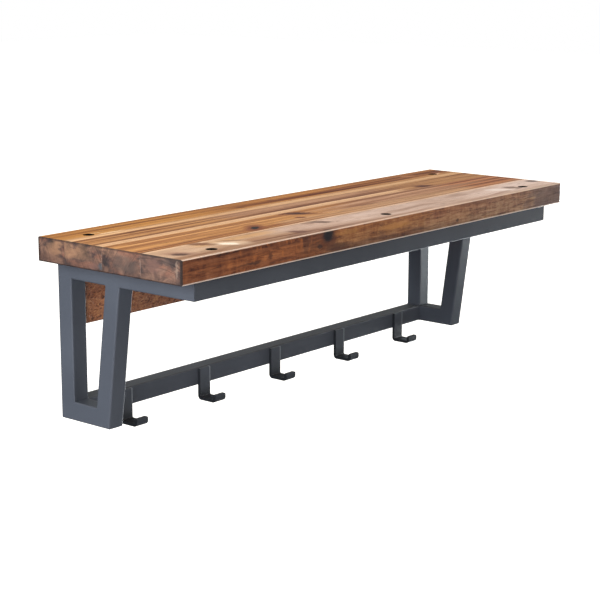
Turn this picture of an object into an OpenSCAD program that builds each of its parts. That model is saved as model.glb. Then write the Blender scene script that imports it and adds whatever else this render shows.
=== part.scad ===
// Wall shelf with a solid wood top, a welded square-tube frame and five coat hooks.
// Frame: X runs along the shelf from its middle, Y = 0 is the wall and the room is at -Y,
// Z is up, and the origin is the middle of the four wall screw holes. Millimetres.

/* [Wood top] */
// Length of the top along the wall
top_l = 1022; // [900:1:1300]
// Depth of the top, from the wall to its front edge
top_d = 300; // [280:1:340]
// Thickness of the top
top_t = 38; // [34:1:45]
// Radius on the edges of the top
top_edge_r = 3; // [1:0.5:5]
// Width of the back board of the top; the other three share what is left
back_stave_w = 60; // [60:1:70]

/* [Frame] */
// Outer side of the square tube
tube = 30; // [28:1:32]
// Wall thickness of the tube
tube_wall = 2; // [1.5:0.5:2.5]
// Outer corner radius of the tube
tube_r = 2.5; // [2:0.5:3]
// How far each end of the top stands past the frame
end_overhang = 38; // [20:1:60]
// How far the front of the top stands past the frame
front_overhang = 12; // [5:1:30]
// Height of the frame, from the underside of the top down
frame_h = 254; // [220:1:300]
// Distance from the wall to the leg's front edge, under the top rail
leg_front_top = 134.5; // [115:0.5:150]
// Distance from the wall to the leg's front edge, at the foot
leg_front_foot = 105.5; // [90:0.5:110]

/* [Back board] */
// Height of the wooden back board
board_h = 106; // [100:1:120]
// Thickness of the wooden back board
board_t = 25; // [22:1:28]
// Radius on the long lower edges of the back board
board_edge_r = 1.5; // [1:0.5:3]

/* [Hooks] */
// Distance between hook centres
hook_pitch = 183; // [120:1:190]
// Width of the hook strap
hook_w = 25; // [20:1:30]
// Thickness of the hook strap
hook_t = 5; // [4:0.5:6]
// How far the hook stands out from the rail
hook_reach = 40; // [34:1:50]
// How far the hook hangs below the rail
hook_drop = 25; // [20:1:40]
// Height of the upturned lip, from the underside of the hook
lip_h = 14; // [12:1:20]
// Inside radius of the bends
bend_r = 2; // [1.5:0.5:3]
// Corner radius of the lip
lip_corner_r = 3.5; // [2:0.5:4]

/* [Fixing bolts] */
// Distance of the outer front bolts from the middle
front_bolt_x = 420; // [380:1:430]
// Distance of the rear bolts from the middle
rear_bolt_x = 452; // [448:1:454]
// Distance of the rear bolts from the wall
rear_bolt_y = 49; // [45:1:50]
// Diameter of the counterbore that hides each bolt head
counterbore_d = 16; // [14:1:18]
// Depth of the counterbore
counterbore_depth = 12; // [10:1:14]

/* [Wall fixing] */
// Distance between the two columns of wall screws
stud_pitch = 406.4; // [400:0.1:410]
// Distance between the two rows of wall screws
wall_row_pitch = 60; // [50:1:64]
// Diameter of the wall screw holes
wall_hole_d = 7; // [6:0.5:8]
// Diameter of the recess for the wall screw's head
wall_recess_d = 16; // [14:1:18]
// Depth of the recess for the wall screw's head
wall_recess_depth = 6; // [4:1:8]

/* [Hidden] */

$fn = 64;
eps = 0.01;
far = 2000;

// Levels, counted from the middle of the wall screw pattern
top_under_z = board_h / 2;
top_upper_z = top_under_z + top_t;
rail_under_z = top_under_z - tube;
frame_bottom_z = top_under_z - frame_h;
hook_bottom_z = frame_bottom_z - hook_drop;

// Frame positions
frame_half_l = top_l / 2 - end_overhang;
tube_mid_x = frame_half_l - tube / 2;
post_inner_x = frame_half_l - tube;
apron_front_y = -(top_d - front_overhang);
apron_mid_y = apron_front_y + tube / 2;

// The leg leans forward as it rises
leg_angle = atan((leg_front_top - leg_front_foot) / (frame_h - tube));
leg_level_w = tube / cos(leg_angle);
leg_inner_foot_y = -(leg_front_foot + tube * tan(leg_angle)) + leg_level_w;

// Edge-glued boards of the top, as distances from the wall
stave_w = (top_d - back_stave_w) / 3;
stave_edges = [0, back_stave_w, back_stave_w + stave_w, back_stave_w + 2 * stave_w, top_d];

// Bolts that hold the top to the frame, M6
bolt_r = 2.95;
bolt_hole_r = 3.3;
bolt_l = 40;
bolt_head_r = 5;
bolt_head_h = 6;
hex_socket_af = 5;
hex_socket_depth = 3;
washer_r = 6;
washer_t = 1.6;
counterbore_rim = 0.6;
seat_z = top_upper_z - counterbore_depth;
front_bolts_at = [for (x = [-front_bolt_x, 0, front_bolt_x]) [x, apron_mid_y]];
rear_bolts_at = [for (x = [-rear_bolt_x, rear_bolt_x]) [x, -rear_bolt_y]];

// Rivet nuts in the tops of the tubes
nut_body_r = 4.5;
nut_bore_r = 3;
nut_flange_r = 6.5;
nut_flange_t = 1;
nut_l = 15;
nut_fit = 0.1;

// Screws through pockets in the hidden side of the back board, up into the top
pocket_angle = 15;
pocket_r = 4.75;
pocket_seat_below = 38;
pocket_exit_y = -15;
screw_r = 2;
screw_head_r = 4;
screw_head_h = 3;
screw_l = 60;
screws_x = [-380, -90, 90, 380];

wood_golden = [0.76, 0.52, 0.32];
wood_tan = [0.72, 0.50, 0.34];
wood_pale = [0.70, 0.55, 0.45];
wood_red = [0.50, 0.29, 0.17];
coated_steel = [0.27, 0.29, 0.33];
black_steel = [0.08, 0.08, 0.09];
zinc = [0.72, 0.72, 0.70];

// ---- outlines ----

module rounded_square(size, r) {
    square([size.x - 2 * r, size.y], center = true);
    square([size.x, size.y - 2 * r], center = true);
    for (x = [-1, 1], y = [-1, 1])
        translate([x * (size.x / 2 - r), y * (size.y / 2 - r)]) circle(r);
}

module tube_section() {
    difference() {
        rounded_square([tube, tube], tube_r);
        rounded_square([tube - 2 * tube_wall, tube - 2 * tube_wall], max(tube_r - tube_wall, 0.5));
    }
}

// ---- wood ----

// The whole top as one block with every edge eased
module top_block() {
    translate([0, -top_d / 2, top_under_z + top_t / 2]) intersection() {
        linear_extrude(top_t, center = true) rounded_square([top_l, top_d], top_edge_r);
        rotate([90, 0, 0]) linear_extrude(top_d, center = true)
            rounded_square([top_l, top_t], top_edge_r);
        rotate([90, 0, 90]) linear_extrude(top_l, center = true)
            rounded_square([top_d, top_t], top_edge_r);
    }
}

module bolt_hole(at) {
    translate([at.x, at.y, 0]) {
        translate([0, 0, top_under_z - 1]) cylinder(r = bolt_hole_r, h = top_t + 2);
        translate([0, 0, seat_z]) cylinder(d = counterbore_d, h = counterbore_depth + 1);
        translate([0, 0, top_upper_z - counterbore_rim])
            cylinder(d1 = counterbore_d, d2 = counterbore_d + 4 * counterbore_rim,
                     h = 2 * counterbore_rim);
        translate([0, 0, top_under_z - 1])
            cylinder(r = nut_flange_r + 2 * nut_fit, h = 1 + nut_flange_t + nut_fit);
    }
}

// Places its children on the line of each screw, with +Z along the screw and 0 at the
// underside of the head
module on_pocket_lines() {
    for (x = screws_x)
        translate([x, pocket_exit_y, top_under_z]) rotate([pocket_angle, 0, 0])
            translate([0, 0, -pocket_seat_below]) children();
}

module stave(i, tint) {
    color(tint) difference() {
        intersection() {
            top_block();
            translate([-far / 2, -stave_edges[i + 1], top_under_z - 1])
                cube([far, stave_edges[i + 1] - stave_edges[i], top_t + 2]);
        }
        if (i == 0) {
            for (at = rear_bolts_at) bolt_hole(at);
            on_pocket_lines() cylinder(r = screw_r, h = screw_l);
        }
        if (i == 3) for (at = front_bolts_at) bolt_hole(at);
    }
}

module back_board() {
    board_mid_z = top_under_z - board_h / 2;
    color(wood_red) difference() {
        translate([0, -board_t / 2, board_mid_z]) rotate([90, 0, 90])
            linear_extrude(2 * post_inner_x, center = true) {
                translate([0, board_edge_r / 2])
                    square([board_t, board_h - board_edge_r], center = true);
                rounded_square([board_t, board_h], board_edge_r);
            }
        for (x = [-1, 1], z = [-1, 1])
            translate([x * stud_pitch / 2, 0, z * wall_row_pitch / 2]) rotate([90, 0, 0]) {
                translate([0, 0, -1]) cylinder(d = wall_hole_d, h = board_t + 2);
                translate([0, 0, board_t - wall_recess_depth])
                    cylinder(d = wall_recess_d, h = wall_recess_depth + 1);
            }
        on_pocket_lines() {
            cylinder(r = screw_r + 0.2, h = screw_l);
            translate([0, 0, -far / 10]) cylinder(r = pocket_r, h = far / 10);
        }
    }
}

// ---- frame, drawn for the right side and mirrored for the left ----

// Keeps the part of a member inside an outline given as [y, z] points
module trimmed_side(outline) {
    intersection() {
        children();
        rotate([90, 0, 90]) linear_extrude(far / 2) polygon(outline);
    }
}

module back_post() {
    color(coated_steel) trimmed_side([
        [0, top_under_z], [-tube, rail_under_z],
        [-tube, frame_bottom_z + tube], [0, frame_bottom_z]])
        translate([tube_mid_x, -tube / 2, frame_bottom_z])
            linear_extrude(frame_h) tube_section();
}

module foot() {
    color(coated_steel) trimmed_side([
        [0, frame_bottom_z], [-tube, frame_bottom_z + tube],
        [leg_inner_foot_y, frame_bottom_z + tube], [-leg_front_foot, frame_bottom_z]])
        translate([tube_mid_x, 0, frame_bottom_z + tube / 2]) rotate([90, 0, 0])
            linear_extrude(leg_front_foot + tube) tube_section();
}

module leg() {
    color(coated_steel) trimmed_side([
        [-leg_front_foot, frame_bottom_z], [leg_inner_foot_y, frame_bottom_z + tube],
        [leg_level_w - leg_front_top, rail_under_z], [-leg_front_top, rail_under_z]])
        translate([tube_mid_x, -leg_front_foot, frame_bottom_z]) rotate([leg_angle, 0, 0])
            translate([0, tube / 2, -tube]) linear_extrude(frame_h + 2 * tube) tube_section();
}

// Mitred downwards at the wall, and sideways at the front where it meets the apron
module top_rail() {
    color(coated_steel) intersection() {
        trimmed_side([
            [0, top_under_z], [-tube, rail_under_z],
            [apron_front_y, rail_under_z], [apron_front_y, top_under_z]])
            translate([tube_mid_x, 0, top_under_z - tube / 2]) rotate([90, 0, 0])
                linear_extrude(top_d) tube_section();
        translate([0, 0, rail_under_z - 1]) linear_extrude(tube + 2) polygon([
            [post_inner_x, 1], [frame_half_l, 1],
            [frame_half_l, apron_front_y], [post_inner_x, apron_front_y + tube]]);
    }
}

module left() { mirror([1, 0, 0]) children(); }

module front_apron() {
    color(coated_steel) intersection() {
        translate([0, apron_mid_y, top_under_z - tube / 2]) rotate([90, 0, 90])
            linear_extrude(2 * frame_half_l, center = true) tube_section();
        translate([0, 0, rail_under_z - 1]) linear_extrude(tube + 2) polygon([
            [-frame_half_l, apron_front_y], [frame_half_l, apron_front_y],
            [post_inner_x, apron_front_y + tube], [-post_inner_x, apron_front_y + tube]]);
    }
}

module hook_rail() {
    color(coated_steel) translate([0, -tube / 2, frame_bottom_z + tube / 2]) rotate([90, 0, 90])
        linear_extrude(2 * post_inner_x, center = true) tube_section();
}

// A quarter of a ring that turns the strap through a right angle, with its centre at 0
module bend() {
    difference() {
        circle(bend_r + hook_t);
        circle(bend_r);
        translate([-far / 2, 0]) square([far, far]);
        translate([0, -far / 2]) square([far / 2, far]);
    }
}

// Side view of the strap: x runs out from the rail, y is up from the hook's underside
module hook_profile() {
    corner = bend_r + hook_t;
    strap_h = hook_drop + tube - tube_r / 2;
    translate([0, corner]) square([hook_t, strap_h - corner]);
    translate([corner, corner]) bend();
    translate([corner, 0]) square([hook_reach - 2 * corner, hook_t]);
    translate([hook_reach - corner, corner]) mirror([1, 0]) bend();
    translate([hook_reach - hook_t, corner]) square([hook_t, lip_h - corner]);
}

module lip_corner_cut() {
    difference() {
        square([lip_corner_r + 1, lip_corner_r + 1]);
        circle(lip_corner_r);
    }
}

module hook(number) {
    lip_middle_y = -tube - hook_reach + hook_t / 2;
    color(coated_steel) translate([(number - 3) * hook_pitch, 0, hook_bottom_z]) difference() {
        translate([0, -tube, 0]) rotate([90, 0, -90])
            linear_extrude(hook_w, center = true) hook_profile();
        for (side = [0, 1]) mirror([side, 0, 0])
            translate([hook_w / 2 - lip_corner_r, lip_middle_y, lip_h - lip_corner_r])
                rotate([90, 0, 0]) linear_extrude(2 * hook_t, center = true) lip_corner_cut();
    }
}

// ---- fasteners ----

module bolts(places) {
    color(black_steel) for (at = places) translate([at.x, at.y, seat_z + washer_t]) {
        difference() {
            cylinder(r = bolt_head_r, h = bolt_head_h);
            translate([0, 0, bolt_head_h - hex_socket_depth])
                cylinder(d = hex_socket_af / cos(30), h = hex_socket_depth + 1, $fn = 6);
        }
        translate([0, 0, -bolt_l]) cylinder(r = bolt_r, h = bolt_l + eps);
    }
}

module washers(places) {
    color(black_steel) for (at = places) translate([at.x, at.y, seat_z]) difference() {
        cylinder(r = washer_r, h = washer_t);
        translate([0, 0, -1]) cylinder(r = bolt_hole_r, h = washer_t + 2);
    }
}

module rivet_nuts(places) {
    color(zinc) for (at = places) translate([at.x, at.y, top_under_z]) difference() {
        union() {
            cylinder(r = nut_flange_r, h = nut_flange_t);
            translate([0, 0, nut_flange_t - nut_l]) cylinder(r = nut_body_r, h = nut_l);
        }
        translate([0, 0, -nut_l]) cylinder(r = nut_bore_r, h = nut_l + nut_flange_t + 1);
    }
}

// The holes that the rivet nuts sit in
module nut_holes(places) {
    for (at = places) translate([at.x, at.y, rail_under_z + tube / 2])
        cylinder(r = nut_body_r + nut_fit, h = tube);
}

module back_board_screws() {
    color(zinc) on_pocket_lines() {
        translate([0, 0, -screw_head_h]) cylinder(r = screw_head_r, h = screw_head_h);
        translate([0, 0, -eps]) cylinder(r = screw_r, h = screw_l);
    }
}

stave(0, wood_golden);  // top_board_back
stave(1, wood_tan);  // top_board_rear_middle
stave(2, wood_golden);  // top_board_front_middle
stave(3, wood_pale);  // top_board_front
back_board();
left() back_post();  // left_back_post
left() foot();  // left_foot
left() leg();  // left_leg
difference() { left() top_rail(); nut_holes(rear_bolts_at); }  // left_top_rail
back_post();  // right_back_post
foot();  // right_foot
leg();  // right_leg
difference() { top_rail(); nut_holes(rear_bolts_at); }  // right_top_rail
difference() { front_apron(); nut_holes(front_bolts_at); }
hook_rail();
hook(1);  // hook_1
hook(2);  // hook_2
hook(3);  // hook_3
hook(4);  // hook_4
hook(5);  // hook_5
bolts(front_bolts_at);  // front_bolts
bolts(rear_bolts_at);  // rear_bolts
washers(front_bolts_at);  // front_washers
washers(rear_bolts_at);  // rear_washers
rivet_nuts(front_bolts_at);  // front_rivet_nuts
rivet_nuts(rear_bolts_at);  // rear_rivet_nuts
back_board_screws();
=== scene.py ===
"""Looks for a wall shelf with a wood top, a welded tube frame and coat hooks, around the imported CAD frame.

Everything is in metres in the CAD's own frame: X along the shelf, Y = 0 at the wall with the room at -Y, Z
up.
"""

import math

import bmesh
import bpy
from mathutils import Matrix, Vector


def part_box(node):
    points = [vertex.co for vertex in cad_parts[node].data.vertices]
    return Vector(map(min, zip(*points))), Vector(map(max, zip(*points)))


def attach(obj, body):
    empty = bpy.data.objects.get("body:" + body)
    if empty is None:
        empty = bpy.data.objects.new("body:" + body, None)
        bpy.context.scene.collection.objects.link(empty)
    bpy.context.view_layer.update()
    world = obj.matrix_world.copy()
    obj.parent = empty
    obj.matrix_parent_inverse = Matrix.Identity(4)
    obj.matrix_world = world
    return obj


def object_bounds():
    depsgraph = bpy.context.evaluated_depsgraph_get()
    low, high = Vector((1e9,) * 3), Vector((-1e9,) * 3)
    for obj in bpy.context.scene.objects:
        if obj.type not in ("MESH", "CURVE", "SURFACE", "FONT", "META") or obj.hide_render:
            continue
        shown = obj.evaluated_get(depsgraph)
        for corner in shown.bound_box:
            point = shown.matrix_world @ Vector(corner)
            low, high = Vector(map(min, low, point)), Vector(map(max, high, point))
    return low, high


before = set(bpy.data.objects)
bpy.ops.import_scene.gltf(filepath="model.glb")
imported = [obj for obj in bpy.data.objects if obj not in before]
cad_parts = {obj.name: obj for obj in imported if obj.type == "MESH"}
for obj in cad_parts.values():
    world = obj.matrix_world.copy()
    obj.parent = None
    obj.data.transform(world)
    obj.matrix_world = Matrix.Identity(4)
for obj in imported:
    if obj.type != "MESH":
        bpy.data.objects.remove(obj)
cad_low, cad_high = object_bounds()
MM = 0.001

# The top is as long and as deep as the whole part, so its four sides are those of the CAD box.
TOP_LEFT, TOP_RIGHT = cad_low.x, cad_high.x
TOP_FRONT, TOP_WALL_SIDE = cad_low.y, cad_high.y
TOP_UNDERSIDE, TOP_SURFACE = (corner.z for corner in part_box("top_board_back"))
EDGE_RADIUS = 3 * MM
COUNTERBORE_RADIUS = 8 * MM

foot_low, foot_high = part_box("left_foot")
TUBE_SIDE = foot_high.x - foot_low.x
TUBE_CORNER_RADIUS = 2.5 * MM

HOOKS = [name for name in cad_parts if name.startswith("hook_") and name != "hook_rail"]


def bolt_centres(node, count):
    """Middles of a row of equal round heads along X."""
    low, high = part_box(node)
    radius = (high.y - low.y) / 2
    first = low.x + radius
    pitch = (high.x - low.x - 2 * radius) / (count - 1)
    return [Vector((first + index * pitch, low.y + radius, 0.0)) for index in range(count)]


TOP_BOLTS = bolt_centres("front_washers", 3) + bolt_centres("rear_washers", 2)


# ---------------------------------------------------------------- camera, light and floor

# The photograph's own viewpoint.
CAMERA_AZIMUTH = math.radians(-50.31)
CAMERA_ELEVATION = math.radians(12.19)
CAMERA_ROLL = math.radians(0.145)
CAMERA_DISTANCE = 2.7188
CAMERA_AIM_FROM_MIDDLE = Vector((-0.0298, 0.0350, -0.0029))
CAMERA_LENS = 95.44

FLOOR_Z = -1.65
FLOOR_SIZE = 60.0


def direction(azimuth, elevation):
    """Unit vector from the object towards a viewer; azimuth 0 stands in front, at -Y."""
    level = math.cos(elevation)
    return Vector((math.sin(azimuth) * level, -math.cos(azimuth) * level, math.sin(elevation)))


def add_camera():
    """Looks at a point near the middle of the part, from the photograph's side."""
    data = bpy.data.cameras.new("camera")
    data.lens = CAMERA_LENS
    camera = bpy.data.objects.new("camera", data)
    bpy.context.scene.collection.objects.link(camera)
    back = direction(CAMERA_AZIMUTH, CAMERA_ELEVATION)
    aim = (cad_low + cad_high) / 2 + CAMERA_AIM_FROM_MIDDLE
    camera.rotation_mode = "QUATERNION"
    camera.location = aim + back * CAMERA_DISTANCE
    turn = (-back).to_track_quat("-Z", "Y").to_matrix().to_4x4() @ Matrix.Rotation(CAMERA_ROLL, 4, "Z")
    camera.rotation_quaternion = turn.to_quaternion()
    bpy.context.scene.camera = camera


MIDDLE = Vector((0.0, -0.15, -0.07))
LEFT_BRACKET = Vector((-0.40, -0.15, -0.07))
RIGHT_BRACKET = Vector((0.50, -0.10, -0.10))

# name: place, aim, side of the square in metres, watts, tint
SOFT_BOXES = {
    "left_far": (Vector((-4.0, -0.6, 1.2)), MIDDLE, 2.5, 120, (0.86, 1.00, 1.04)),
    "left_near": (Vector((-1.5, -0.35, 0.10)), LEFT_BRACKET, 1.0, 22, (1.02, 0.98, 0.96)),
    "right_near": (Vector((1.6, -0.1, -0.12)), RIGHT_BRACKET, 0.4, 21, (0.90, 1.00, 1.05)),
    "right_low": (Vector((2.4, -0.5, -0.25)), RIGHT_BRACKET, 0.6, 8, (1.00, 1.00, 1.00)),
    "front": (Vector((0.0, -3.2, 0.8)), MIDDLE, 2.2, 29, (1.10, 1.00, 0.82)),
    "below": (Vector((0.0, -1.2, -1.6)), MIDDLE, 1.8, 14, (0.92, 0.98, 1.12)),
    "overhead": (Vector((0.0, -0.3, 3.0)), MIDDLE, 2.5, 60, (1.00, 1.00, 1.00)),
    "edge_glint": (Vector((2.4, 0.8, -1.0)), MIDDLE, 1.3, 45, (0.95, 1.00, 1.05)),
}

# Seen from the right, these two would turn the lacquered top white with glare.
LEFT_OUT_OF_REFLECTIONS = ["left_far", "left_near"]


def add_soft_box(name, place, aim, size, watts, tint):
    """A square lamp that the camera does not see."""
    data = bpy.data.lights.new(name, "AREA")
    data.shape = "SQUARE"
    data.size = size
    data.energy = watts
    data.color = tint
    light = bpy.data.objects.new(name, data)
    bpy.context.scene.collection.objects.link(light)
    light.location = place
    light.rotation_mode = "QUATERNION"
    light.rotation_quaternion = (aim - place).to_track_quat("-Z", "Y")
    light.visible_camera = False
    light.visible_glossy = name not in LEFT_OUT_OF_REFLECTIONS


class Tree:
    """Adds nodes to one node tree. A method that adds one returns its output socket or sockets."""

    def __init__(self, tree):
        self.tree = tree
        tree.nodes.clear()

    def put(self, socket, value):
        if isinstance(value, bpy.types.NodeSocket):
            self.tree.links.new(value, socket)
        else:
            socket.default_value = value

    def node(self, kind, inputs=None, output=0, **settings):
        node = self.tree.nodes.new(kind)
        for key, value in settings.items():
            setattr(node, key, value)
        for key, value in (inputs or {}).items():
            self.put(node.inputs[key], value)
        return node.outputs[output]

    def math(self, operation, *values):
        inputs = dict(enumerate(values))
        return self.node("ShaderNodeMath", inputs, operation=operation)

    def times(self, *values):
        """Product of two or more values."""
        product = values[0]
        for value in values[1:]:
            product = self.math("MULTIPLY", product, value)
        return product

    def total(self, *terms):
        """Weighted sum; terms are (value, weight)."""
        result = 0.0
        for value, weight in terms:
            result = self.math("ADD", result, self.math("MULTIPLY", value, weight))
        return result

    def vector(self, operation, *values, output=0):
        inputs = dict(enumerate(values))
        return self.node("ShaderNodeVectorMath", inputs, output, operation=operation)

    def stretch(self, at, x, y, z):
        return self.vector("MULTIPLY", at, (x, y, z))

    def noise(self, at, detail=2.0, roughness=0.5, distortion=0.0, output=0, scale=1.0):
        inputs = {"Vector": at, "Scale": scale, "Detail": detail, "Roughness": roughness,
                  "Distortion": distortion}
        return self.node("ShaderNodeTexNoise", inputs, output)

    def smooth(self, value, low, high, to_low=0.0, to_high=1.0):
        """Smooth step of value from low to high."""
        inputs = {"Value": value, "From Min": low, "From Max": high, "To Min": to_low, "To Max": to_high}
        return self.node("ShaderNodeMapRange", inputs, interpolation_type="SMOOTHSTEP")

    def linear(self, value, low, high, to_low=0.0, to_high=1.0):
        inputs = {"Value": value, "From Min": low, "From Max": high, "To Min": to_low, "To Max": to_high}
        return self.node("ShaderNodeMapRange", inputs)

    def ramp(self, factor, stops):
        """Colour ramp; stops are (place, colour)."""
        node = self.tree.nodes.new("ShaderNodeValToRGB")
        elements = node.color_ramp.elements
        while len(elements) < len(stops):
            elements.new(0.5)
        for element, (place, colour) in zip(elements, stops):
            element.position = place
            element.color = (*colour, 1.0)
        self.put(node.inputs[0], factor)
        return node.outputs[0]

    def mix(self, factor, a, b, blend="MIX"):
        node = self.tree.nodes.new("ShaderNodeMix")
        node.data_type = "RGBA"
        node.blend_type = blend
        self.put(node.inputs[0], factor)
        self.put(node.inputs[6], a if isinstance(a, bpy.types.NodeSocket) else (*a, 1.0))
        self.put(node.inputs[7], b if isinstance(b, bpy.types.NodeSocket) else (*b, 1.0))
        return node.outputs[2]

    def split(self, at):
        node = self.tree.nodes.new("ShaderNodeSeparateXYZ")
        self.put(node.inputs[0], at)
        return node.outputs

    def join(self, x, y, z):
        return self.node("ShaderNodeCombineXYZ", {0: x, 1: y, 2: z})


def from_srgb(red, green, blue):
    """A colour given as 0 to 255 screen values, as linear light."""
    def linear(value):
        value /= 255
        return value / 12.92 if value <= 0.04045 else ((value + 0.055) / 1.055) ** 2.4
    return (linear(red), linear(green), linear(blue))


def new_material(name):
    material = bpy.data.materials.new(name)
    material.use_nodes = True
    return material, Tree(material.node_tree)


def add_world():
    """White to the camera; as light, a soft sky above and a weak glow around and below."""
    world = bpy.data.worlds.new("studio")
    bpy.context.scene.world = world
    world.use_nodes = True
    t = Tree(world.node_tree)
    height = t.split(t.node("ShaderNodeTexCoord"))[2]
    glow = t.ramp(t.linear(height, -1.0, 1.0), [
        (0.35, (0.06, 0.07, 0.07)), (0.42, (0.14, 0.17, 0.20)), (0.65, (0.14, 0.17, 0.20)),
        (0.80, (0.62, 0.58, 0.48))])
    light = t.node("ShaderNodeBackground", {"Color": glow, "Strength": 1.0})
    seen = t.node("ShaderNodeBackground", {"Color": (1.0, 1.0, 1.0, 1.0), "Strength": 1.0})
    is_camera = t.node("ShaderNodeLightPath")
    shader = t.node("ShaderNodeMixShader", {0: is_camera, 1: light, 2: seen})
    out = t.tree.nodes.new("ShaderNodeOutputWorld")
    t.tree.links.new(shader, out.inputs["Surface"])


def add_floor():
    """Plain pale floor at the height of a real room's floor below a hung shelf."""
    half = FLOOR_SIZE / 2
    mesh = bpy.data.meshes.new("floor")
    corners = [(x * half, y * half, FLOOR_Z) for x, y in ((-1, -1), (1, -1), (1, 1), (-1, 1))]
    mesh.from_pydata(corners, [], [(0, 1, 2, 3)])
    floor = bpy.data.objects.new("floor", mesh)
    bpy.context.scene.collection.objects.link(floor)
    material, t = new_material("floor_white")
    shader = t.tree.nodes.new("ShaderNodeBsdfPrincipled")
    shader.inputs["Base Color"].default_value = (0.9, 0.9, 0.9, 1.0)
    shader.inputs["Roughness"].default_value = 0.9
    shader.inputs["Emission Color"].default_value = (1.0, 1.0, 1.0, 1.0)
    shader.inputs["Emission Strength"].default_value = 1.0
    out = t.tree.nodes.new("ShaderNodeOutputMaterial")
    t.tree.links.new(shader.outputs[0], out.inputs["Surface"])
    mesh.materials.append(material)
    floor.visible_diffuse = False
    floor.visible_glossy = False


# ---------------------------------------------------------------- materials

def finish_material(t, colour, roughness, height, bump_distance, bump_strength, **uniform):
    """Ends a tree in one Principled shader. uniform holds plain values for the shader's own sockets."""
    shader = t.tree.nodes.new("ShaderNodeBsdfPrincipled")
    t.put(shader.inputs["Base Color"], colour)
    t.put(shader.inputs["Roughness"], roughness)
    for socket, value in uniform.items():
        shader.inputs[socket.replace("_", " ")].default_value = value
    bump = t.tree.nodes.new("ShaderNodeBump")
    bump.inputs["Strength"].default_value = bump_strength
    bump.inputs["Distance"].default_value = bump_distance
    t.put(bump.inputs["Height"], height)
    t.tree.links.new(bump.outputs[0], shader.inputs["Normal"])
    out = t.tree.nodes.new("ShaderNodeOutputMaterial")
    t.tree.links.new(shader.outputs[0], out.inputs["Surface"])


def powder_coat(name, detail=None):
    """Charcoal blue-grey satin powder coat, slightly bumpy. detail, if given, paints more colour on it, such
    as painted shade and a painted highlight.
    """
    material, t = new_material(name)
    at = t.node("ShaderNodeTexCoord", output="Object")
    cloud = t.noise(at, scale=9.0, detail=3.0)
    peel = t.noise(at, scale=900.0, detail=2.0)
    grit = t.noise(at, scale=3200.0, detail=1.0)
    colour = t.mix(t.linear(cloud, 0.35, 0.65), (0.046, 0.051, 0.065), (0.054, 0.060, 0.076))
    colour = t.mix(t.smooth(grit, 0.62, 0.80, 0.0, 0.35), colour, (0.10, 0.11, 0.125))
    if detail is not None:
        colour = detail(t, colour, at)
    roughness = t.linear(peel, 0.3, 0.7, 0.36, 0.50)
    finish_material(t, colour, roughness, peel, 0.12 * MM, 0.6, Specular_IOR_Level=0.5)
    return material


def hook_painted_shade_and_highlight(t, colour, at):
    """Hooks are darker below their rail and on their left sides as painted shade, with a pale painted
    highlight beside the rail on their right edges.
    """
    x, _, z = t.split(at)
    rail_low, rail_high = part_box("hook_rail")
    # dark is painted shade, and the pale colour after it a painted highlight.
    dark = (0.012, 0.013, 0.016)
    painted_highlight = (0.34, 0.36, 0.40)
    # Painted shade, darker towards the bottom below the rail.
    below = t.smooth(z, rail_low.z - 2 * MM, rail_low.z - 20 * MM, 0.0, 0.65)
    colour = t.mix(below, colour, dark)
    beside_rail = t.times(t.smooth(z, rail_low.z, rail_low.z + 2 * MM),
                          t.smooth(z, rail_high.z, rail_high.z - 2 * MM))
    for name in HOOKS:
        low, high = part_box(name)
        from_left = t.math("ABSOLUTE", t.math("SUBTRACT", x, low.x))
        from_right = t.math("ABSOLUTE", t.math("SUBTRACT", x, high.x))
        # Painted shade on each hook's left side face, and a painted highlight on its right edge beside the
        # rail.
        colour = t.mix(t.smooth(from_left, 1.2 * MM, 0.6 * MM, 0.0, 0.85), colour, dark)
        line = t.times(t.smooth(from_right, 1.6 * MM, 1.0 * MM, 0.0, 0.8), beside_rail)
        colour = t.mix(line, colour, painted_highlight)
    return colour


def plain_metal(name, colour, metallic, rough_low, rough_high):
    """Fasteners: metal with a little mottle in colour, roughness and bump."""
    material, t = new_material(name)
    at = t.node("ShaderNodeTexCoord", output="Object")
    mottle = t.noise(at, scale=450.0, detail=4.0, roughness=0.7)
    dark = tuple(0.6 * c for c in colour)
    shade = t.mix(t.linear(mottle, 0.3, 0.7), dark, colour)
    roughness = t.linear(mottle, 0.3, 0.7, rough_low, rough_high)
    finish_material(t, shade, roughness, mottle, 0.04 * MM, 0.5, Metallic=metallic)
    return material


def shades(middle, spread=1.0):
    """Ramp stops from a dark growth line to pale early wood around a middle colour."""
    def tone(red, green, blue):
        gains = (red, green, blue)
        return tuple(min(1.0, c * (1.0 + (g - 1.0) * spread)) for c, g in zip(middle, gains))
    return [(0.0, tone(0.52, 0.40, 0.34)), (0.30, tone(0.84, 0.78, 0.74)), (0.55, middle),
            (0.78, tone(1.12, 1.16, 1.20)), (1.0, tone(1.30, 1.42, 1.55))]


def centred(t, at, amount):
    """A noise vector that swings either way of zero, times amount."""
    wander = t.noise(at, detail=2.0, output=1)
    wander = t.vector("SUBTRACT", wander, (0.5, 0.5, 0.5))
    return t.vector("MULTIPLY", wander, amount)


def distance_from(t, at, spot):
    """1 at the rim of a spot made by mark(), less inside. It is an ellipsoid turned about Z."""
    away = t.vector("SUBTRACT", at, spot["centre"])
    turned = t.node("ShaderNodeVectorRotate", {"Vector": away, "Angle": -spot["turn"]},
                    rotation_type="Z_AXIS")
    scaled = t.vector("DIVIDE", turned, spot["radii"])
    return t.vector("LENGTH", scaled, output=1)


def mark(x, y, length, width, colour, strength=0.8, turn=0.0, z=TOP_SURFACE / MM, depth=20.0, soft=0.5,
         knot=False):
    """A spot in the wood, in millimetres: x from the left end, y from the wall, depth above and below z."""
    return {"centre": Vector((TOP_LEFT + x * MM, -y * MM, z * MM)),
            "radii": Vector((length, width, 2 * depth)) * (MM / 2), "turn": math.radians(turn),
            "colour": from_srgb(*colour), "strength": strength, "soft": soft, "knot": knot}


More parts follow.
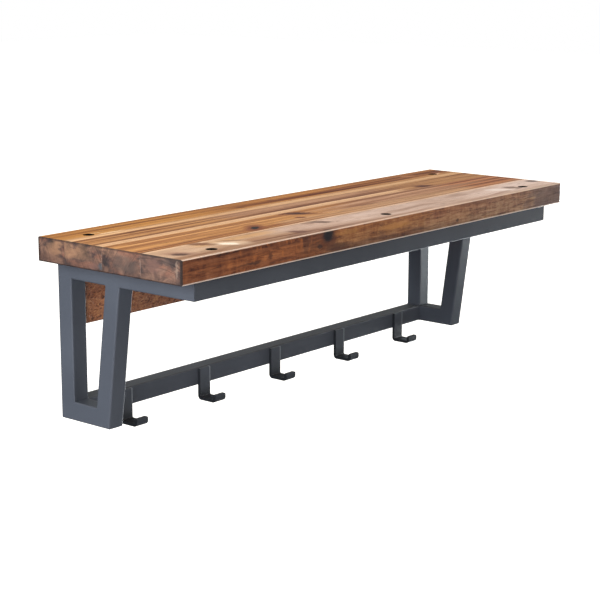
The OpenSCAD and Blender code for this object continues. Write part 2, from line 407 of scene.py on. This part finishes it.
def grain(t, at, seed, pith, marks):
    """The board's own place, that place bent round its knots, and its distance from a pith along X."""
    own = t.vector("ADD", at, seed)
    wander = centred(t, t.stretch(own, 1.5, 6.0, 6.0), (0.0, 14 * MM, 14 * MM))
    ripple = centred(t, t.stretch(own, 9.0, 40.0, 40.0), (0.0, 1.6 * MM, 1.6 * MM))
    bent = t.vector("ADD", t.vector("ADD", at, wander), ripple)
    for knot in [spot for spot in marks if spot["knot"]]:
        wide = dict(knot, radii=knot["radii"] * 2.6)
        near = t.smooth(distance_from(t, at, wide), 1.0, 0.0, 0.0, -0.75)
        away = t.vector("MULTIPLY", t.vector("SUBTRACT", bent, knot["centre"]), (0.0, 1.0, 0.0))
        pull = t.node("ShaderNodeVectorMath", {0: away, "Scale": near}, operation="SCALE")
        bent = t.vector("ADD", bent, pull)
    from_pith = t.split(t.vector("SUBTRACT", bent, pith))
    squares = t.math("ADD", t.times(from_pith[1], from_pith[1]), t.times(from_pith[2], from_pith[2]))
    return own, bent, t.math("SQRT", squares)


def ring_tone(t, own, radius):
    """Growth bands of three widths that follow the rings, and thin dark lines between them."""
    along, _, height = t.split(own)

    def bands(per_metre, drift, detail):
        place = t.join(t.times(radius, per_metre), t.times(along, drift), t.times(height, drift))
        return t.noise(place, detail=detail, roughness=0.65)

    broad = bands(70.0, 1.0, 2.0)
    band = bands(140.0, 1.8, 4.0)
    line = bands(620.0, 6.0, 2.0)
    tone = t.total((broad, 0.34), (band, 0.48), (line, 0.18))
    crossing = t.math("ABSOLUTE", t.math("SUBTRACT", bands(105.0, 1.4, 1.0), 0.50))
    thin = t.times(t.smooth(crossing, 0.045, 0.008), t.smooth(band, 0.60, 0.40))
    return t.linear(tone, 0.38, 0.62), broad, line, thin


def paint_marks(t, colour, at, seed, marks):
    """Paints the spots with ragged outlines, and a rusty halo round those that are knots."""
    shaken = t.vector("ADD", at, seed)
    coarse = centred(t, t.stretch(shaken, 55.0, 110.0, 90.0), (10 * MM, 6 * MM, 6 * MM))
    fine = centred(t, t.stretch(shaken, 180.0, 320.0, 320.0), (9 * MM, 6 * MM, 6 * MM))
    ragged = t.vector("ADD", t.vector("ADD", at, coarse), fine)
    for spot in marks:
        reach = distance_from(t, ragged, spot)
        if spot["knot"]:
            halo = t.smooth(reach, 2.1, 0.8, 0.0, 0.75)
            colour = t.mix(halo, colour, t.mix(0.45, spot["colour"], from_srgb(134, 70, 34)))
        inside = t.smooth(reach, 1.0 + spot["soft"] / 2, 1.0 - spot["soft"], 0.0, spot["strength"])
        colour = t.mix(inside, colour, spot["colour"])
    return colour


def eased_edge(t, first, second, start=1.0):
    """1 in the middle of the quarter round between two faces, given a point's depth below both."""
    return t.smooth(t.math("ADD", first, second), start * EDGE_RADIUS, 0.60 * EDGE_RADIUS)


def paint_edge_highlight_and_shade(t, colour, at):
    """The eased edges of the top: a pale painted highlight along its length, and dark painted shade around
    its two ends and at their corners by the wall.
    """
    x, y, z = t.split(at)
    to_end = t.math("SUBTRACT", TOP_RIGHT, t.math("ABSOLUTE", x))
    to_side = t.math("MINIMUM", t.math("SUBTRACT", y, TOP_FRONT), t.math("SUBTRACT", TOP_WALL_SIDE, y))
    to_underside = t.math("SUBTRACT", z, TOP_UNDERSIDE)
    to_surface = t.math("SUBTRACT", TOP_SURFACE, z)
    # pale is a painted highlight and dark is painted shade.
    pale = from_srgb(240, 216, 198)
    dark = from_srgb(34, 26, 25)
    # Painted highlights along the long top and bottom edges.
    colour = t.mix(t.times(eased_edge(t, to_side, to_surface, 0.80), 0.55), colour, pale)
    colour = t.mix(t.times(eased_edge(t, to_side, to_underside), 0.85), colour, pale)
    # Painted shade along the edges of the two ends and on their upright corners, also beside the wall.
    level_edge = eased_edge(t, to_end, t.math("MINIMUM", to_surface, to_underside))
    colour = t.mix(t.times(level_edge, 0.60), colour, dark)
    upright_edge = eased_edge(t, to_end, to_side, 1.4)
    shade_at_wall_corner = t.times(t.smooth(y, TOP_WALL_SIDE - 8 * MM, TOP_WALL_SIDE - 2 * MM),
                      t.smooth(to_end, 3 * MM, 1 * MM))
    return t.mix(t.math("MAXIMUM", t.times(upright_edge, 0.92), t.times(shade_at_wall_corner, 0.8)), colour, dark)


def in_bolt_hole(t, at):
    """1 in the counterbores of the top's bolts and on a narrow rim round them, else 0; it masks painted
    shade in the holes.
    """
    x, y, _ = t.split(at)
    level_place = t.join(x, y, 0.0)
    nearest = None
    for centre in TOP_BOLTS:
        away = t.vector("SUBTRACT", level_place, (centre.x, centre.y, 0.0))
        reach = t.vector("LENGTH", away, output=1)
        nearest = reach if nearest is None else t.math("MINIMUM", nearest, reach)
    return t.smooth(nearest, COUNTERBORE_RADIUS + 1.4 * MM, COUNTERBORE_RADIUS + 0.7 * MM)


def end_grain(t, colour, at, own, radius, marks):
    """The sawn ends: darker and greyer, with stains, tan patches and faint growth arcs."""
    x, y, z = t.split(at)
    stain = t.noise(t.stretch(own, 14.0, 34.0, 55.0), detail=4.0, roughness=0.62, distortion=0.6)
    patch = t.noise(t.stretch(t.vector("ADD", own, (1.7, 0.3, 0.9)), 10.0, 22.0, 60.0), detail=3.0)
    rings = t.noise(t.join(t.times(radius, 420.0), 0.5, 0.5), detail=3.0, roughness=0.7)
    wood = t.ramp(t.linear(stain, 0.32, 0.68), [
        (0.0, from_srgb(30, 29, 31)), (0.35, from_srgb(60, 48, 46)), (0.60, from_srgb(84, 63, 55)),
        (1.0, from_srgb(116, 88, 74))])
    toward_wall = t.times(t.smooth(y, TOP_WALL_SIDE - 200 * MM, TOP_WALL_SIDE - 60 * MM),
                          t.smooth(y, TOP_WALL_SIDE - 10 * MM, TOP_WALL_SIDE - 40 * MM))
    upper = t.smooth(z, TOP_SURFACE - 35 * MM, TOP_SURFACE - 17 * MM)
    tan = t.times(t.smooth(patch, 0.46, 0.56), toward_wall, upper)
    tan_strength = t.linear(stain, 0.35, 0.60, 0.35, 0.80)
    wood = t.mix(t.times(tan, tan_strength), wood, from_srgb(130, 97, 74))
    rust = t.times(t.smooth(patch, 0.50, 0.38, 0.0, 0.45), t.smooth(stain, 0.40, 0.60))
    wood = t.mix(rust, wood, from_srgb(108, 68, 54))
    arc_strength = t.math("SUBTRACT", 0.55, t.times(tan, 0.45))
    wood = t.mix(t.times(t.smooth(rings, 0.48, 0.38), arc_strength), wood, from_srgb(38, 29, 27))
    lower = t.smooth(z, TOP_SURFACE - 21 * MM, TOP_SURFACE - 33 * MM, 0.0, 0.30)
    wood = t.mix(lower, wood, from_srgb(48, 38, 36))
    wood = paint_marks(t, wood, at, (0.4, 0.2, 0.6), marks)
    at_end = t.smooth(t.math("ABSOLUTE", x), TOP_RIGHT - 3.0 * MM, TOP_RIGHT - 1.2 * MM)
    return t.mix(at_end, colour, wood), at_end


def stripe(low, high, wood, along=(-50, 1100), strength=0.9, edge=1.2, drift=0.0):
    """A stripe from low to high off the wall and along the length, in millimetres.

    edge is half the width of its soft border, and drift its move towards the front per metre.
    """
    return {"across": (low, high), "wood": wood, "along": along, "strength": strength, "edge": edge,
            "drift": drift}


def paint_stripe(t, colour, band, across, along, tone):
    """A stripe along the grain, between two distances from the wall, for part of the length."""
    low, high = (distance * MM for distance in band["across"])
    start, end = (distance * MM for distance in band["along"])
    edge = band["edge"] * MM
    drift = t.times(t.math("SUBTRACT", along, 0.5), band["drift"])
    place = t.math("SUBTRACT", across, drift)
    inside = t.times(t.smooth(place, low - edge, low + edge), t.smooth(place, high + edge, high - edge),
                     t.smooth(along, start - 20 * MM, start + 20 * MM),
                     t.smooth(along, end + 30 * MM, end - 30 * MM), band["strength"])
    return t.mix(inside, colour, t.ramp(tone, shades(from_srgb(*band["wood"]), 0.7)))


def front_face(t, own, along, z, tone, zones):
    """The long front edge of the top: streaked brown wood, curly and amber at its left.

    Each zone is its start along the shelf in millimetres, its colour at mid height, and the gains
    of the upper and the lower part.
    """
    streak = t.noise(t.stretch(own, 16.0, 60.0, 190.0), detail=4.0, roughness=0.7, distortion=0.5)
    curl = t.noise(t.stretch(own, 95.0, 60.0, 38.0), detail=3.0, roughness=0.6, distortion=0.7)
    cloud = t.noise(t.stretch(own, 24.0, 40.0, 60.0), detail=3.0, roughness=0.6)
    fleck = t.noise(t.stretch(own, 150.0, 90.0, 330.0), detail=2.0, roughness=0.7)
    figure = t.total((t.linear(streak, 0.34, 0.66), 0.42), (t.linear(curl, 0.32, 0.68), 0.22),
                     (t.linear(fleck, 0.3, 0.7), 0.14), (tone, 0.22))
    place = t.math("ADD", along, t.linear(cloud, 0.3, 0.7, -50 * MM, 50 * MM))
    height = t.math("ADD", z, t.linear(cloud, 0.3, 0.7, -5 * MM, 5 * MM))
    upper = t.smooth(height, TOP_SURFACE - 17 * MM, TOP_SURFACE - 8 * MM)
    lower = t.smooth(height, TOP_SURFACE - 21 * MM, TOP_SURFACE - 31 * MM)
    colour = None
    for start, wood, upper_gain, lower_gain in zones:
        shade = t.ramp(t.linear(figure, 0.22, 0.78), shades(from_srgb(*wood), 1.9))
        for part, gain in ((upper, upper_gain), (lower, lower_gain)):
            shade = t.mix(part, shade, t.mix(1.0, shade, gain, "MULTIPLY"))
        factor = t.smooth(place, (start - 25) * MM, (start + 25) * MM)
        colour = shade if colour is None else t.mix(factor, colour, shade)
    curly = t.times(t.smooth(curl, 0.50, 0.66), t.smooth(cloud, 0.44, 0.58))
    at_left = t.times(t.smooth(place, 340 * MM, 260 * MM), t.smooth(along, 80 * MM, 150 * MM))
    colour = t.mix(t.times(curly, at_left, 0.8), colour, from_srgb(176, 100, 44))
    crack = t.smooth(t.math("ABSOLUTE", t.math("SUBTRACT", streak, 0.44)), 0.022, 0.004)
    crack = t.times(crack, t.smooth(cloud, 0.54, 0.42, 0.30, 0.90))
    return t.mix(crack, colour, from_srgb(46, 24, 18))


def top_wood(name, board):
    """Solid acacia board of the top, with lacquer. The figure is three-dimensional."""
    material, t = new_material(name)
    at = t.node("ShaderNodeTexCoord", output="Object")
    marks = board["marks"]
    own, bent, radius = grain(t, at, board["seed"], board["pith"], marks)
    tone, broad, line, thin = ring_tone(t, own, radius)
    x, y, z = t.split(at)
    along = t.math("SUBTRACT", x, TOP_LEFT)
    streaky = t.math("ADD", along, t.linear(broad, 0.3, 0.7, -100 * MM, 100 * MM))
    across = t.math("SUBTRACT", TOP_WALL_SIDE, t.split(bent)[1])
    colour = t.ramp(tone, shades(from_srgb(*board["wood"]), board["contrast"]))
    for start, end, wood in board["zones"]:
        factor = t.smooth(streaky, start * MM, end * MM)
        colour = t.mix(factor, colour, t.ramp(tone, shades(from_srgb(*wood), board["contrast"])))
    dark_line = t.mix(1.0, colour, (0.42, 0.30, 0.24), "MULTIPLY")
    colour = t.mix(t.times(thin, board["lines"]), colour, dark_line)
    for band in board["stripes"]:
        colour = paint_stripe(t, colour, band, across, along, tone)
    if "front" in board:
        front = t.smooth(y, TOP_FRONT + 3.0 * MM, TOP_FRONT + 1.4 * MM)
        colour = t.mix(front, colour, front_face(t, own, along, z, tone, board["front"]))
    fibre = t.noise(t.stretch(own, 28.0, 1500.0, 1500.0), detail=3.0, roughness=0.6)
    pores = t.noise(t.stretch(own, 45.0, 700.0, 700.0), detail=1.0)
    colour = t.mix(t.linear(fibre, 0.3, 0.7, 0.28, 0.0), colour, from_srgb(96, 52, 28))
    colour = t.mix(t.smooth(pores, 0.60, 0.72, 0.0, 0.50), colour, from_srgb(80, 44, 26))
    colour = paint_marks(t, colour, at, board["seed"], marks)
    colour, at_end = end_grain(t, colour, at, own, radius, board["end_marks"])
    # Painted highlights and painted shade on the top's eased edges.
    colour = paint_edge_highlight_and_shade(t, colour, at)
    hole_shade = in_bolt_hole(t, at)
    # Painted shade: the counterbores and a narrow rim round them are painted near black.
    colour = t.mix(hole_shade, colour, from_srgb(4, 3, 3))
    roughness = t.math("ADD", t.linear(line, 0.3, 0.7, 0.48, 0.36), t.times(at_end, 0.22))
    roughness = t.math("MAXIMUM", roughness, hole_shade)
    height = t.math("SUBTRACT", fibre, t.smooth(pores, 0.60, 0.72))
    finish_material(t, colour, roughness, height, 0.10 * MM, 0.7, Specular_IOR_Level=board["shine"])
    return material


def rough_wood(name, wood):
    """The back board: orange-brown wood with a broken, figured surface."""
    material, t = new_material(name)
    at = t.node("ShaderNodeTexCoord", output="Object")
    own, _, radius = grain(t, at, (3.1, 0.4, 0.9), (0.0, -0.12, 0.04), [])
    tone, broad, _, _ = ring_tone(t, own, radius)
    curl = t.noise(t.stretch(own, 70.0, 120.0, 130.0), detail=4.0, roughness=0.7, distortion=1.2)
    fleck = t.noise(t.stretch(own, 170.0, 200.0, 330.0), detail=3.0, roughness=0.7)
    figure = t.total((tone, 0.25), (t.linear(curl, 0.3, 0.7), 0.45), (t.linear(fleck, 0.3, 0.7), 0.30))
    colour = t.ramp(t.linear(figure, 0.15, 0.85), shades(from_srgb(*wood), 1.9))
    colour = t.mix(t.smooth(broad, 0.42, 0.60, 0.0, 0.40), colour, from_srgb(104, 56, 36))
    gold = t.times(t.smooth(curl, 0.52, 0.66), t.smooth(fleck, 0.42, 0.60))
    colour = t.mix(t.times(gold, 0.65), colour, from_srgb(186, 126, 62))
    torn = t.times(t.smooth(fleck, 0.50, 0.38), t.smooth(curl, 0.58, 0.44))
    colour = t.mix(t.times(torn, 0.90), colour, from_srgb(36, 20, 16))
    roughness = t.linear(curl, 0.3, 0.7, 0.66, 0.46)
    finish_material(t, colour, roughness, curl, 1.2 * MM, 0.8, Specular_IOR_Level=0.4)
    return material


# ---------------------------------------------------------------- the boards of the top

# Lengths are in millimetres and colours in 0 to 255 screen values. wood is the colour at the left end,
# and each zone changes it between two distances from there. contrast and lines set how strongly the
# growth bands and the thin dark lines show. pith is the middle of the growth rings, in metres.
BOARDS = {
    "top_board_back": {
        "seed": (0.0, 0.0, 0.0), "pith": (0.0, 0.09, 0.02), "contrast": 1.45, "wood": (175, 117, 54),
        "lines": 0.9, "shine": 0.2,
        "zones": [(250, 420, (164, 106, 52)), (640, 900, (153, 99, 56))],
        "stripes": [stripe(54, 63, (200, 150, 100), strength=0.4, edge=3)],
        "marks": [
            mark(95, 59, 60, 7, (236, 200, 160), 0.85),
            mark(77, 45, 30, 5, (228, 186, 140), 0.6),
            mark(409, 46, 22, 12, (96, 52, 30), 0.75, turn=-30),
            mark(502, 33, 24, 8, (96, 54, 34), 0.7, turn=-30),
            mark(690, 30, 90, 7, (118, 66, 40), 0.6, turn=4),
            mark(866, 46, 90, 10, (104, 58, 38), 0.75, turn=6),
            mark(905, 30, 40, 10, (190, 132, 92), 0.6, turn=-20),
            mark(965, 56, 60, 7, (222, 176, 140), 0.75, turn=24),
            mark(988, 40, 60, 16, (110, 60, 42), 0.6, turn=14)],
        "end_marks": [mark(0, 22, 10, 50, (74, 54, 47), 0.5, z=62, depth=8)],
    },
    "top_board_rear_middle": {
        "seed": (1.3, 0.2, 0.4), "pith": (0.0, 0.05, -0.02), "contrast": 1.45, "wood": (188, 134, 80),
        "lines": 0.95, "shine": 0.3,
        "zones": [(270, 380, (170, 124, 92)), (690, 800, (180, 130, 84))],
        "stripes": [
            stripe(62, 78, (220, 174, 128), drift=0.010),
            stripe(80, 84, (128, 78, 46), along=(-50, 420), strength=0.75, edge=0.8, drift=0.010),
            stripe(96, 99, (140, 92, 62), along=(120, 900), strength=0.55, edge=0.8, drift=-0.006),
            stripe(116, 121, (116, 70, 46), along=(-50, 690), strength=0.8, edge=0.8),
            stripe(123, 142, (222, 178, 136), along=(-50, 745)),
            stripe(129.5, 132.5, (178, 124, 80), along=(-50, 300), strength=0.55, edge=0.6)],
        "marks": [
            mark(818, 133, 34, 22, (70, 32, 24), 0.9, turn=-30, knot=True),
            mark(703, 92, 90, 10, (126, 78, 62), 0.55)],
        "end_marks": [
            mark(0, 138, 8, 16, (60, 64, 68), 0.8, z=61, depth=6),
            mark(0, 140, 8, 2.2, (118, 100, 90), 0.6, z=74, depth=14),
            mark(0, 122, 8, 26, (100, 72, 65), 0.5, z=60, depth=6)],
    },
    "top_board_front_middle": {
        "seed": (2.9, 0.7, 0.1), "pith": (0.0, -0.33, -0.03), "contrast": 1.45, "wood": (191, 133, 75),
        "lines": 0.95, "shine": 0.32,
        "zones": [(430, 600, (178, 132, 100)), (820, 900, (172, 112, 72))],
        "stripes": [
            stripe(147, 151, (134, 78, 42), along=(-50, 460), strength=0.75, edge=1.0),
            stripe(155, 160, (128, 70, 36), along=(30, 420), strength=0.8, edge=1.0),
            stripe(163, 167, (212, 158, 100), along=(30, 380), strength=0.6, edge=1.0),
            stripe(168, 174, (150, 88, 46), along=(60, 330), strength=0.65, edge=1.5),
            stripe(186, 189, (148, 92, 52), along=(-50, 240), strength=0.6, edge=1.0, drift=0.02),
            stripe(190, 216, (200, 156, 116), along=(330, 860), strength=0.6, edge=5.0),
            stripe(176, 181, (138, 86, 62), along=(520, 900), strength=0.65, edge=1.5, drift=-0.03),
            stripe(150, 156, (120, 60, 36), along=(860, 1050), strength=0.75, edge=2.0)],
        "marks": [
            mark(269, 199, 44, 24, (104, 52, 28), 0.75, turn=42, knot=True),
            mark(269, 199, 24, 12, (22, 10, 8), 0.98, turn=42, soft=0.3),
            mark(419, 158, 50, 18, (78, 38, 24), 0.9, turn=-46, knot=True),
            mark(425, 157, 22, 12, (48, 18, 12), 0.95, turn=-40),
            mark(394, 188, 22, 16, (100, 46, 26), 0.9, turn=-40),
            mark(640, 158, 90, 10, (140, 92, 72), 0.5)],
        "end_marks": [
            mark(0, 219, 8, 2.2, (116, 99, 90), 0.6, z=72, depth=16),
            mark(0, 190, 8, 60, (78, 64, 58), 0.6, z=72, depth=14)],
    },
    "top_board_front": {
        "seed": (4.1, 0.1, 0.8), "pith": (0.0, -0.24, -0.12), "contrast": 1.5, "wood": (180, 142, 112),
        "lines": 0.6, "shine": 0.45,
        "zones": [(210, 300, (182, 148, 128)), (420, 560, (194, 163, 146))],
        "stripes": [
            stripe(219, 226, (220, 178, 138), strength=0.6, edge=1.5),
            stripe(230, 250, (198, 148, 96), along=(90, 260), strength=0.75, edge=5),
            stripe(226, 229, (140, 100, 72), along=(160, 520), strength=0.5, edge=1.0)],
        "marks": [
            mark(34, 264, 56, 30, (142, 100, 80), 0.7, turn=-40),
            mark(31, 268, 30, 20, (70, 38, 28), 0.9, turn=-42),
            mark(112, 236, 62, 24, (112, 66, 38), 0.9, turn=-44),
            mark(148, 259, 66, 42, (216, 184, 154), 0.65, turn=-44),
            mark(140, 262, 34, 20, (242, 226, 208), 0.85, turn=-47),
            mark(158, 246, 50, 14, (124, 78, 50), 0.7, turn=-30),
            mark(203, 262, 70, 14, (160, 112, 78), 0.6),
            mark(287, 273, 36, 22, (98, 58, 44), 0.85, turn=-42),
            mark(378, 241, 46, 20, (84, 56, 44), 0.85, turn=-42),
            mark(353, 236, 24, 16, (126, 88, 68), 0.7, turn=-42),
            mark(843, 283, 90, 12, (150, 110, 92), 0.6, turn=8),
            mark(868, 262, 60, 24, (232, 216, 208), 0.75, turn=-40),
            mark(906, 262, 34, 26, (104, 74, 62), 0.8, turn=-40),
            mark(1005, 247, 26, 22, (62, 42, 36), 0.9, turn=-40),
            mark(915, 276, 36, 10, (104, 76, 64), 0.8, turn=10),
            mark(327, 300, 30, 14, (20, 17, 22), 0.98, z=83, depth=12, knot=True),
            mark(306, 300, 14, 14, (44, 26, 22), 0.8, z=68, depth=4),
            mark(376, 300, 70, 14, (186, 130, 70), 0.4, z=82, depth=4),
            mark(153, 300, 40, 14, (44, 22, 18), 0.75, z=65, depth=3),
            mark(190, 300, 10, 14, (60, 28, 18), 0.7, z=70, depth=6),
            mark(680, 300, 12, 10, (50, 26, 20), 0.9, z=62, depth=3),
            mark(348, 300, 60, 14, (60, 36, 28), 0.6, z=62, depth=8),
            mark(500, 300, 90, 14, (176, 118, 60), 0.6, z=76, depth=6),
            mark(740, 300, 190, 14, (96, 56, 40), 0.5, z=87, depth=3),
            mark(930, 300, 60, 14, (96, 74, 62), 0.5, z=78, depth=4)],
        "front": [(0, (120, 68, 38), (0.84, 0.82, 0.84), (1.00, 1.06, 1.20)),
                  (110, (136, 78, 42), (0.66, 0.64, 0.72), (0.88, 0.90, 1.02)),
                  (275, (106, 64, 40), (0.90, 0.85, 0.94), (1.45, 1.36, 1.05)),
                  (345, (148, 98, 58), (1.04, 0.92, 0.82), (0.54, 0.56, 0.72)),
                  (590, (152, 106, 72), (0.88, 0.74, 0.68), (0.78, 0.86, 0.92)),
                  (740, (152, 110, 78), (0.88, 0.76, 0.70), (0.96, 1.00, 1.02)),
                  (915, (108, 78, 62), (0.88, 0.82, 0.80), (0.82, 0.84, 0.90))],
        "end_marks": [
            # The first end mark, a pale strip beside the front corner, is a painted highlight.
            mark(0, 291, 8, 5, (118, 100, 89), 0.6, z=76, depth=16),
            mark(0, 272, 8, 18, (57, 50, 49), 0.6, z=86, depth=6),
            mark(0, 246, 8, 34, (99, 72, 64), 0.55, z=76, depth=12)],
    },
}


def dress(node_names, material):
    """Gives CAD nodes a material in place of the plain one they were packed with."""
    for name in node_names:
        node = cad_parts[name]
        node.data.materials.clear()
        node.data.materials.append(material)


def nodes_with(material_name):
    """Names of the CAD nodes packed with a material."""
    return [name for name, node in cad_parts.items()
            if node.data.materials and node.data.materials[0].name == material_name]


# ---------------------------------------------------------------- ground-flush welds

UP = Vector((0.0, 0.0, 1.0))


def groove_section(radius):
    """Corners of the space between a rounded tube edge and its two flat faces, carried on to a point."""
    arc_steps = 6
    section = [Vector((0.0, 0.0))]
    for step in range(arc_steps + 1):
        angle = math.radians(90 * step / arc_steps)
        section.append(Vector((radius * (1 - math.cos(angle)), radius * (1 - math.sin(angle)))))
    return section


def weld_fill(name, steel, corner, along, inward, up):
    """Fills the groove that a rounded tube edge leaves beside a butt weld, ground flush.

    corner is one end of the groove on the outer face, along runs the length of the weld, inward
    points into the tube and up points away from the joint.
    """
    section = groove_section(TUBE_CORNER_RADIUS)
    mesh = bmesh.new()
    rings = []
    for share in (0.0, 1.0):
        start = corner + along * share
        rings.append([mesh.verts.new(start + inward * p.x + up * p.y) for p in section])
    count = len(section)
    for index in range(count):
        after = (index + 1) % count
        mesh.faces.new((rings[0][index], rings[0][after], rings[1][after], rings[1][index]))
    mesh.faces.new(list(reversed(rings[0])))
    mesh.faces.new(rings[1])
    bmesh.ops.recalc_face_normals(mesh, faces=mesh.faces)
    data = bpy.data.meshes.new(name)
    mesh.to_mesh(data)
    mesh.free()
    piece = bpy.data.objects.new(name, data)
    bpy.context.scene.collection.objects.link(piece)
    data.materials.append(steel)
    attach(piece, "root")


def leg_front_run(side):
    """How far the leg's front edge leans forward over its height."""
    leg_low, leg_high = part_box(side + "_leg")
    foot_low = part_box(side + "_foot")[0]
    return foot_low.y - leg_low.y


def add_leg_welds(side, outward, steel):
    """Both faces of one bracket, where the leg meets the top rail."""
    leg_low, leg_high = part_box(side + "_leg")
    rail_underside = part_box(side + "_top_rail")[0].z
    lean = math.atan2(leg_front_run(side), leg_high.z - leg_low.z)
    along = Vector((0.0, TUBE_SIDE / math.cos(lean), 0.0))
    for face, facing in (("outer", outward), ("inner", -outward)):
        face_x = leg_high.x if facing > 0 else leg_low.x
        corner = Vector((face_x, leg_low.y, rail_underside))
        weld_fill(f"{side}_leg_weld_{face}", steel, corner, along, Vector((-facing, 0.0, 0.0)), UP)


def add_rail_welds(side, outward, steel):
    """Front and back, where the hook rail meets one back post."""
    post_low, post_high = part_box(side + "_back_post")
    rail_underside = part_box("hook_rail")[0].z
    inner_x = post_high.x if outward < 0 else post_low.x
    for face, face_y, inward in (("front", post_low.y, 1.0), ("back", post_high.y, -1.0)):
        corner = Vector((inner_x, face_y, rail_underside))
        weld_fill(f"{side}_rail_weld_{face}", steel, corner, UP * TUBE_SIDE, Vector((0.0, inward, 0.0)),
                  Vector((outward, 0.0, 0.0)))


# ---------------------------------------------------------------- the whole scene

add_camera()
add_world()
add_floor()
for name, settings in SOFT_BOXES.items():
    add_soft_box(name, *settings)

steel = powder_coat("coated_steel_look")
dress(nodes_with("coated_steel"), steel)
# The hooks' coat has painted shade below the rail and on their left sides, and a painted highlight.
dress(HOOKS, powder_coat("hook_look", hook_painted_shade_and_highlight))
dress(["front_bolts", "rear_bolts", "front_washers", "rear_washers"],
      plain_metal("black_steel_look", (0.02, 0.02, 0.022), 0.6, 0.35, 0.55))
dress(["front_rivet_nuts", "rear_rivet_nuts", "back_board_screws"],
      plain_metal("zinc_look", (0.62, 0.62, 0.60), 1.0, 0.25, 0.45))
for name, board in BOARDS.items():
    dress([name], top_wood(name + "_look", board))
dress(["back_board"], rough_wood("back_board_look", (148, 95, 63)))
for side, outward in (("left", -1), ("right", 1)):
    add_leg_welds(side, outward, steel)
    add_rail_welds(side, outward, steel)

bpy.context.scene.view_settings.view_transform = "Standard"
